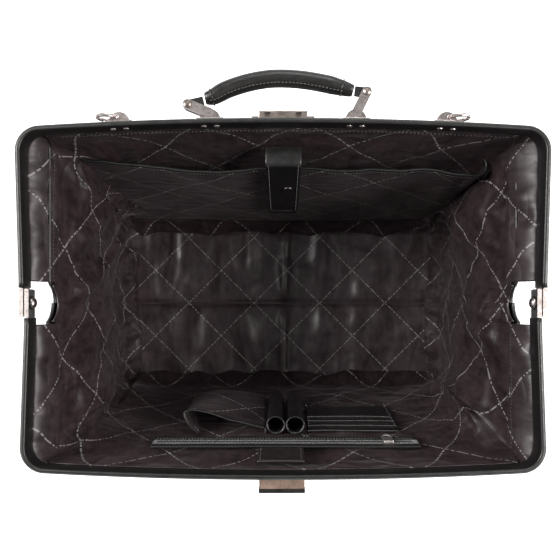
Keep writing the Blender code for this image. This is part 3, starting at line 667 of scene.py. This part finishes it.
def dense(loop, step=6.0):
    """A closed loop with points about a step apart."""
    out = []
    for a, b in zip(loop, loop[1:] + loop[:1]):
        n = max(1, int((b - a).length / step))
        out += [a.lerp(b, k / n) for k in range(n)]
    return out


band = sweep("base_band", dense(base_loop(1.5, 8.5)), rounded_box(2.2, 16.0, 1.0), shell_mat, closed=True)
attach(band, "base")
welt = sweep("base_welt", dense(base_loop(1.9, 16.9)), ring_profile(1.5, 8), rim_mat, closed=True)
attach(welt, "base")
loop = dense(base_loop(2.7, 12.5), 4.0)
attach(stitches("base_stitching", loop + loop[:1], lambda p: (p.x / 200, p.y / 100, 0)), "base")


# ---------------------------------------------------------------- wrapped frame strips
def strip_line(half, inset, z):
    """The line at inset from a strip's outer face, from one hinge round the bar to the other."""
    at_hinge, corner, reach = STRIP[half][:3]
    cx, cy = corner - CORNER_R, reach - CORNER_R
    right = [Vector((at_hinge, PLATE_END + 0.2))]
    right += [Vector((arm_x(half, y), y)) for y in range(18, int(cy), 8)]
    right += [Vector((cx, cy)) + Vector((math.cos(a), math.sin(a))) * CORNER_R
              for a in (math.radians(9 * k) for k in range(11))]
    right += [Vector((x, bar_y(half, x))) for x in range(int(cx) - 6, 2, -8)]
    path = right + [Vector((-p.x, p.y)) for p in reversed(right)]
    line = []
    for i, p in enumerate(path):
        along = path[min(i + 1, len(path) - 1)] - path[max(i - 1, 0)]
        out = Vector((along.y, -along.x)).normalized()
        q = p - out * inset
        line.append(Vector((q.x, half * q.y, z)))
    return line


def strip_outward(p):
    """Straight out of a strip's face: sideways on an arm, and along y on a bar."""
    if abs(p.y) < ARM_STITCHES_END:
        return math.copysign(1, p.x), 0, 0
    return 0, math.copysign(1, p.y), 0


ARM_STITCHES_END = 125.0
for half in (BACK, FRONT):
    body = NAME[half] + "_frame"
    line = strip_line(half, STRIP_T / 2, STRIP_MID)
    wrap = sweep(f"rim_{NAME[half]}", line, rounded_box(STRIP_T + 0.3, STRIP_H + 0.2, 1.5), rim_mat)
    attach(wrap, body)
    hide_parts(f"{NAME[half]}_frame_leather")
    # the piping bead along each rim's top edge, coloured light greenish-grey as a painted highlight
    top_edge = strip_line(half, 0.25, STRIP_Z1 - 0.45)
    bead = sweep(f"rim_edge_{NAME[half]}", top_edge, ring_profile(0.75, 6), piping_highlight_mat)
    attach(bead, body)
    outer = strip_line(half, -0.2, STRIP_Z0 + 3.2)
    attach(stitches(f"rim_stitching_{NAME[half]}", outer, strip_outward), body)


# ---------------------------------------------------------------- the two walls' own planes
def on_wall(half, x, z, off=0.0):
    """A point standing off inwards from the lining of a wall."""
    return Vector((x, half * (wall_y(z, half) - LINING_IN - 1.2 - off), z))


def pouch(name, half, mouth, foot, z_top, z_foot, columns, rows, belly, thickness, seed):
    """A pocket's front panel between a foot line and a mouth line, each of (x, how far it stands off).
    Gives the panel, and its mouth's edge as a line."""
    top = smooth_path([(x, o, 0) for x, o in mouth])
    low = smooth_path([(x, o, 0) for x, o in foot])

    def place(s, t):
        a, b = at(low, s), at(top, s)
        rise = t**1.5
        x = a.x + (b.x - a.x) * t
        off = a.y + (b.y - a.y) * rise + belly * math.sin(math.pi * t) * math.sin(math.pi * s)
        z = z_foot + (z_top - z_foot) * t
        off += 0.8 * folds(x, z * 0.2, z, seed, 80, 30) * math.sin(math.pi * s) * (0.3 + 0.7 * t)
        return on_wall(half, x, z, max(off, 0.2))

    ob = grid(name, columns, rows, place, pocket_mat, thickness, half)
    edge = [place(k / (columns * 2), 1.0) + Vector((0, 0, 0.3)) for k in range(columns * 2 + 1)]
    return with_wall(ob, half), edge


# laptop pocket on the back wall: bound mouth, curled in at both ends
MOUTH_Z, FOOT_Z = 251.0, 50.0
laptop, edge = pouch("laptop_pocket_panel", BACK,
                     [(-190, 0.3), (-189, 5), (-150, 9), (-100, 14), (-60, 17), (-22, 13.5), (18, 13), (75, 15),
                      (134, 14.5), (170, 19), (188, 19), (194, 10), (190, 0.5)],
                     [(-186, 0.2), (-184, 0.8), (-100, 2.5), (-30, 4), (60, 3.5), (150, 2.5), (188, 1.2),
                      (190, 0.2)],
                     MOUTH_Z, FOOT_Z, columns=110, rows=36, belly=2.0, thickness=1.4, seed=11.0)
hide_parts("laptop_pocket")
binding = with_wall(sweep("laptop_pocket_binding", edge, rounded_box(2.6, 6.4, 1.1), trim_mat), BACK)
low_edge = [p + Vector((0, -1.5, -2.1)) for p in edge]
with_wall(stitches("laptop_pocket_stitching", low_edge, lambda p: (0, -1, 0.3), step=3.0, length=2.1), BACK)

# leather tab over the pocket, with a stitched edge
tab_low, tab_high = (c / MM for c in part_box("pocket_tab"))
TAB_W = tab_high.x - tab_low.x
tab_mid = (tab_high.x + tab_low.x) / 2
TAB_ROUNDS_FROM, TAB_ROUNDS_BY = 0.93, 0.14  # the share of its length where the tab's end starts to narrow
root = Vector((tab_mid, tab_high.y - 0.2, tab_high.z - 2.6))
crest = Vector((tab_mid, tab_high.y - 16.2, tab_high.z + 0.0))
foot = Vector((tab_mid, tab_low.y + 1.2, tab_low.z + 0.6))
run = smooth_path([root, root.lerp(crest, 0.5) + Vector((0, 0, 1.0)), crest + Vector((0, -1.0, -1.2)),
                   crest.lerp(foot, 0.08) + Vector((0, -0.6, 0)), crest.lerp(foot, 0.5) + Vector((0, -0.8, 0)),
                   foot], 8)


def tab_place(s, t):
    p = at(run, t)
    end = max(0.0, (t - TAB_ROUNDS_FROM) / (1 - TAB_ROUNDS_FROM))
    wide = TAB_W * (1 - TAB_ROUNDS_BY * end**2)
    return p + Vector(((s - 0.5) * wide, 0.35 * math.cos((s - 0.5) * math.pi), 0))


tab = grid("pocket_tab_leather", 16, 60, tab_place, trim_mat, 2.3, 0.0)
tab.modifiers.new("soft", "BEVEL").width = 0.6 * MM
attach(tab, "pocket_tab")
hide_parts("pocket_tab")
tab_seams = {f"tab_stitching_{SIDE[side]}": [at(run, 0.03 + 0.94 * k / 80)
                                             + Vector((side * (TAB_W / 2 - 2.6), -1.0, 0.4)) for k in range(81)]
             for side in SIDE}
tab_seams["tab_stitching_end"] = [at(run, 0.972) + Vector((x, -1.0, 0.4)) for x in range(-13, 14)]
for name, line in tab_seams.items():
    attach(stitches(name, line, lambda p: (0, -1, 0.3), step=3.0, length=2.2), "pocket_tab")

# card pocket: a back panel with three overlapping slots
CARD_X, CARD_FOOT, CARD_TOPS = (25.0, 117.0), 126.0, (214.0, 201.0, 189.0, 177.0)
CARD_LAYER = 0.9


def card_slot(k, top):
    """One layer of the card pocket, the first at the back, with its burnished top edge."""
    stands_off = 1.0 + CARD_LAYER * k

    def place(s, t):
        x = CARD_X[0] + (CARD_X[1] - CARD_X[0]) * s
        z = CARD_FOOT + (top - CARD_FOOT) * t - (1.2 * math.sin(math.pi * s) if t > 0.99 else 0)
        ripple = 0.5 * noise.noise(Vector((x / 30, z / 40, stands_off)))
        return on_wall(FRONT, x, z, stands_off * min(1, t * 3) + ripple)

    ob = grid(f"card_slot_{k + 1}", 30, 20, place, slot_mat, CARD_LAYER, -1)
    with_wall(ob, FRONT)
    if k == 0:
        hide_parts("card_pocket")
    line = [place(j / 40, 1.0) + Vector((0, 0.6, 0)) for j in range(41)]
    with_wall(sweep(f"card_edge_{k + 1}", line, ring_profile(0.85, 6), edge_mat), FRONT)


for k, top in enumerate(CARD_TOPS):
    card_slot(k, top)
for k, x in enumerate(CARD_X):
    line = [on_wall(FRONT, x + (1.5 if k == 0 else -1.5), z, 4.0) for z in range(128, 214, 3)]
    with_wall(stitches(f"card_seam_{k + 1}", line, lambda p: (0, 1, 0), step=3.2), FRONT)


# pen loops: soft tubes with open, bound tops
PEN_R, PEN_FOOT, PEN_TOP = 9.0, 118.0, 219.0


def pen_tube(name, x):
    """A leather tube that narrows towards its foot, with a bound top."""
    def place(s, t):
        a = -2 * math.pi * s
        z = PEN_FOOT + (PEN_TOP - PEN_FOOT) * t
        r = PEN_R * (0.8 + 0.2 * min(1, t * 4)) + 0.45 * noise.noise(Vector((x + s * 3, z / 22, 5)))
        return on_wall(FRONT, x + r * math.cos(a), z, PEN_R + r * math.sin(a) * 0.94)

    ob = grid(name + "_cloth", 28, 30, place, slot_mat, 0.9, -1,
              lambda s, t, p: (s * 0.056 + x * MM, p.z * MM))
    rim = [place(k / 28, 1.0) for k in range(28)]
    ring = sweep(name + "_rim", rim, ring_profile(0.65, 6), trim_mat, closed=True)
    with_wall(ob, FRONT)
    with_wall(ring, FRONT)
    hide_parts(name)


pen_tube("pen_loop_left", -7.3)
pen_tube("pen_loop_right", 12.3)

# phone pocket, gaping at its left end
PHONE_TOP, PHONE_FOOT = 215.0, 118.0
phone, edge = pouch("phone_pocket_panel", FRONT,
                    [(-86, 0.5), (-95, 8), (-100, 19), (-93, 22.5), (-79, 21), (-55, 13.5), (-28, 6.5),
                     (-19, 5), (-17.6, 0.5)],
                    [(-104, 0.3), (-104.5, 7), (-98, 13), (-74, 17), (-45, 15), (-24, 11.5), (-18, 6),
                     (-17.6, 0.3)],
                    PHONE_TOP, PHONE_FOOT, columns=70, rows=26, belly=0.0, thickness=1.2, seed=5.0)
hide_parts("phone_pocket")
with_wall(sweep("phone_pocket_binding", edge, rounded_box(1.9, 4.6, 0.8), trim_mat), FRONT)

# zip on the front wall: two welts, the tape between them, two seams and the teeth
ZIP_X, ZIP_MID = (-125.0, 130.0), 246.5
ZIP_BANDS = {  # height of the lower and upper edge, how far it stands off, material
    "zip_welt_low": (233.5, 241.0, 1.1, welt_mat),
    "zip_welt_high": (252.5, 259.5, 1.1, welt_mat),
    "zip_tape_cloth": (240.0, 253.5, 0.5, tape_mat),
}
ZIP_SEAMS = {"zip_seam_low": 240.5, "zip_seam_high": 252.8}
TOOTH_STEP, TOOTH_ENDS, TOOTH_SHIFT = 1.5, 4, 0.9


def zip_band(name, z0, z1, off, mat):
    """One long strip beside or under the zip's teeth."""
    def place(s, t):
        x = ZIP_X[0] + (ZIP_X[1] - ZIP_X[0]) * s
        ripple = 0.4 * noise.noise(Vector((x / 35, 0, z0)))
        return on_wall(FRONT, x, z0 + (z1 - z0) * t, off + 0.5 * math.sin(math.pi * t) + ripple)

    ob = with_wall(grid(name, 90, 6, place, mat, 1.1, -1), FRONT)
    if name == "zip_tape_cloth":
        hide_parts("zip_tape")


def zip_teeth():
    """All the teeth as one piece: small wedges, every other one from the other side."""
    points, faces = [], []
    for k in range(int((ZIP_X[1] - ZIP_X[0] - 2 * TOOTH_ENDS) / TOOTH_STEP)):
        x = ZIP_X[0] + TOOTH_ENDS + TOOTH_STEP * k
        z = ZIP_MID + (TOOTH_SHIFT if k % 2 else -TOOTH_SHIFT)
        first = len(points)
        for dx in (-0.5, 0.5):
            for dz, dy in ((-1.5, 1.1), (1.5, 1.1), (1.1, 2.5), (-1.1, 2.5)):
                points.append(on_wall(FRONT, x + dx, z + dz, dy))
        wedge = ((0, 1, 2, 3), (7, 6, 5, 4), (0, 4, 5, 1), (1, 5, 6, 2), (2, 6, 7, 3), (3, 7, 4, 0))
        faces += [tuple(first + i for i in f) for f in wedge]
    return piece("zip_teeth", points, faces, dark_metal_mat, smooth=False)


for name, band_of_zip in ZIP_BANDS.items():
    zip_band(name, *band_of_zip)
for name, z in ZIP_SEAMS.items():
    line = [on_wall(FRONT, x, z, 3.1) for x in range(int(ZIP_X[0]) + 2, int(ZIP_X[1]) - 1, 3)]
    with_wall(stitches(name, line, lambda p: (0, 1, 0), step=3.0, length=2.1), FRONT)
with_wall(zip_teeth(), FRONT)


# leather patch under the strap
PATCH_X, PATCH_Z, PATCH_SEAM_IN = (-23.0, 19.0), (262.0, 295.0), 2.4


def patch_place(s, t):
    x = PATCH_X[0] + (PATCH_X[1] - PATCH_X[0]) * s
    z = PATCH_Z[0] + (PATCH_Z[1] - PATCH_Z[0]) * t
    return on_wall(FRONT, x, z, 0.7 + 0.4 * math.sin(math.pi * s))


patch = with_wall(grid("strap_patch_leather", 20, 14, patch_place, patch_mat, 1.6, -1), FRONT)
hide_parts("strap_patch")
seam_x = PATCH_X[0] + PATCH_SEAM_IN, PATCH_X[1] - PATCH_SEAM_IN
seam_z = PATCH_Z[0] + PATCH_SEAM_IN, PATCH_Z[1] - PATCH_SEAM_IN
corners = [(seam_x[i], seam_z[j]) for i, j in ((0, 0), (0, 1), (1, 1), (1, 0), (0, 0))]
line = []
for (xa, za), (xb, zb) in zip(corners, corners[1:]):
    line += [on_wall(FRONT, xa + (xb - xa) * k / 12, za + (zb - za) * k / 12, 2.1) for k in range(12)]
with_wall(stitches("strap_patch_stitching", line, lambda p: (0, 1, 0), step=3.0, length=2.1), FRONT)

# ---------------------------------------------------------------- closing strap, flesh side up
strap_low, strap_high = (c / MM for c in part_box("closure_strap"))
STRAP_DOWN, STRAP_FALL = 1.4, 3.9  # below the CAD strap's top at its root, and how much more at its end


def strap_place(s, t):
    x = strap_low.x + (strap_high.x - strap_low.x) * s
    y = strap_high.y - 0.4 + (strap_low.y - 1.0 - strap_high.y) * t
    z = strap_high.z - STRAP_DOWN - STRAP_FALL * t + 0.5 * math.sin(2.6 * s + 1) * t
    return Vector((x, y, z + 0.15 * noise.noise(Vector((x / 6, y / 6, 1)))))


strap = grid("strap_leather", 30, 12, strap_place, suede_mat, 2.0, 0.0)
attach(strap, "closure_strap")
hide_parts("closure_strap")

# ---------------------------------------------------------------- handle
grip_low, grip_high = (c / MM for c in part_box("handle_grip"))
GRIP_R, GRIP_ROUND = 7.6, 20
GRIP_END_SIZE, GRIP_TAPER = 0.62, 0.16  # the ends' size, and the share of the length that tapers to them
grip_bends = [(grip_low.x + 2.6, grip_low.y + 7.2), (-60, 178.6), (-50, 184.0), (-37, 188.7), (-23, 192.2),
              (-9, 194.0), (5, 194.0), (20, 192.6), (36, 189.8), (49, 186.6),
              (grip_high.x - 1.4, grip_high.y - 18.4)]
grip_line = smooth_path([(x, y, STRIP_MID) for x, y in grip_bends], 6)


def grip_size(t):
    """The grip's thickness at share t of its length, 1 in the middle."""
    end = min(t, 1 - t)
    if end >= GRIP_TAPER:
        return 1.0
    return GRIP_END_SIZE + (1 - GRIP_END_SIZE) * (end / GRIP_TAPER) ** 0.6


# round, with a ridge along the inside of the bend where the leather's edges meet
grip_profile = []
for k in range(GRIP_ROUND):
    a = math.radians(-60 + 300 * k / (GRIP_ROUND - 1))
    grip_profile.append((-GRIP_R * 0.12 - GRIP_R * 0.9 * math.sin(a), GRIP_R * 0.92 * math.cos(a)))
grip_profile += [(GRIP_R * 0.92, 2.4), (GRIP_R * 0.99, 1.4), (GRIP_R * 0.99, -1.4), (GRIP_R * 0.92, -2.4)]
grip = sweep("handle_grip_leather", grip_line, grip_profile, grip_mat, scale=grip_size)
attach(grip, "handle")
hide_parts("handle_grip")
seam = []
for i in range(3, len(grip_line) - 3):
    along = grip_line[i + 1] - grip_line[i - 1]
    side = along.cross(Vector((0, 0, 1))).normalized()
    inward = side * GRIP_R * 0.62 * grip_size(i / (len(grip_line) - 1))
    seam.append(grip_line[i] + inward + Vector((0, 0, 4.9)))
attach(stitches("handle_stitching", seam, lambda p: (0, -0.5, 1), step=3.2, length=2.3, radius=0.36), "handle")
for name, i in (("left", 5), ("right", len(grip_line) - 6)):
    along = (grip_line[i + 1] - grip_line[i - 1]).normalized()
    side = along.cross(Vector((0, 0, 1))).normalized()
    size = grip_size(i / (len(grip_line) - 1)) * 1.04
    loop = [grip_line[i] + side * a * size + Vector((0, 0, b * size)) for a, b in grip_profile]
    collar = sweep(f"handle_collar_{name}", loop, ring_profile(0.8, 6), rim_mat, up=along, closed=True)
    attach(collar, "handle")


for half in (BACK, FRONT):
    around = section(AROUND_Z, half, LINING_IN, 1.0)[2] * MM

# ---------------------------------------------------------------- finishes of the kept CAD pieces
FINISH = [
    (trim_mat, ["handle_tab_left", "handle_tab_right", "left_hinge_washer", "right_hinge_washer"]),
    (shell_mat, ["base_leather", "base_board"]),
    (steel_mat, ["back_frame_steel", "front_frame_steel"]),
    (lock_mat, ["lock_case", "handle_screw_left", "handle_screw_right", "lock_screw_left",
                "lock_screw_right"]),
    (bright_mat, ["zip_slider"]),
    (dark_metal_mat, ["tab_snap", "strap_end_clip"]),
]
done = set()
for mat, names in FINISH:
    for name in names:
        NODES[name].data.materials.clear()
        NODES[name].data.materials.append(mat)
        done.add(name)
for name, ob in NODES.items():
    if name not in done and not ob.hide_render:
        ob.data.materials.clear()
        ob.data.materials.append(nickel_mat)

# ---------------------------------------------------------------- floor, light and camera
STUDIO_SIZE, STUDIO_GAP, STUDIO_GLOW, WORLD_STRENGTH = 3.0, 0.0005, 0.4, 0.3
bm = bmesh.new()
bmesh.ops.create_grid(bm, x_segments=2, y_segments=2, size=STUDIO_SIZE)
mesh = bpy.data.meshes.new("studio_floor")
bm.to_mesh(mesh)
bm.free()
studio = bpy.data.objects.new("studio_floor", mesh)
studio.location.z = -STUDIO_GAP
bpy.context.scene.collection.objects.link(studio)
n = Nodes("studio_white")
mesh.materials.append(n.end(Base_Color=(0.92, 0.92, 0.92), Roughness=0.9, Emission_Color=(1.0, 1.0, 1.0),
                            Emission_Strength=STUDIO_GLOW))

world = bpy.data.worlds.new("studio")
bpy.context.scene.world = world
world.use_nodes = True
world.node_tree.nodes["Background"].inputs["Color"].default_value = (1.0, 1.0, 1.0, 1.0)
world.node_tree.nodes["Background"].inputs["Strength"].default_value = WORLD_STRENGTH


def area_light(name, place, target, size, watts, colour=(1, 1, 1)):
    """A soft rectangular light at place, aimed at target."""
    light = bpy.data.lights.new(name, "AREA")
    light.shape = "RECTANGLE"
    light.size, light.size_y = size
    light.energy = watts
    light.color = colour
    ob = bpy.data.objects.new(name, light)
    ob.location = place
    ob.rotation_euler = (Vector(target) - Vector(place)).to_track_quat("-Z", "Y").to_euler()
    bpy.context.scene.collection.objects.link(ob)


area_light("left_softbox", (-1.5, 0.35, 1.5), (0.05, 0, 0.2), (0.8, 0.8), 58, (1.0, 0.985, 0.97))
area_light("right_softbox", (1.5, -0.15, 1.5), (-0.05, 0, 0.2), (0.8, 0.8), 54, (1.0, 0.97, 0.95))
area_light("rear_softbox", (0.2, 1.6, 1.5), (0, 0, 0.2), (1.0, 0.7), 14)

CAMERA_Z, LENS, SHIFT_X, SHIFT_Y = 0.852, 40.4, -0.0054, 0.041
data = bpy.data.cameras.new("camera")
data.lens = LENS
data.shift_x, data.shift_y = SHIFT_X, SHIFT_Y
data.clip_start = 0.02
camera = bpy.data.objects.new("camera", data)
camera.location = (0, 0, CAMERA_Z)
bpy.context.scene.collection.objects.link(camera)
bpy.context.scene.camera = camera
bpy.context.scene.view_settings.view_transform = "Standard"
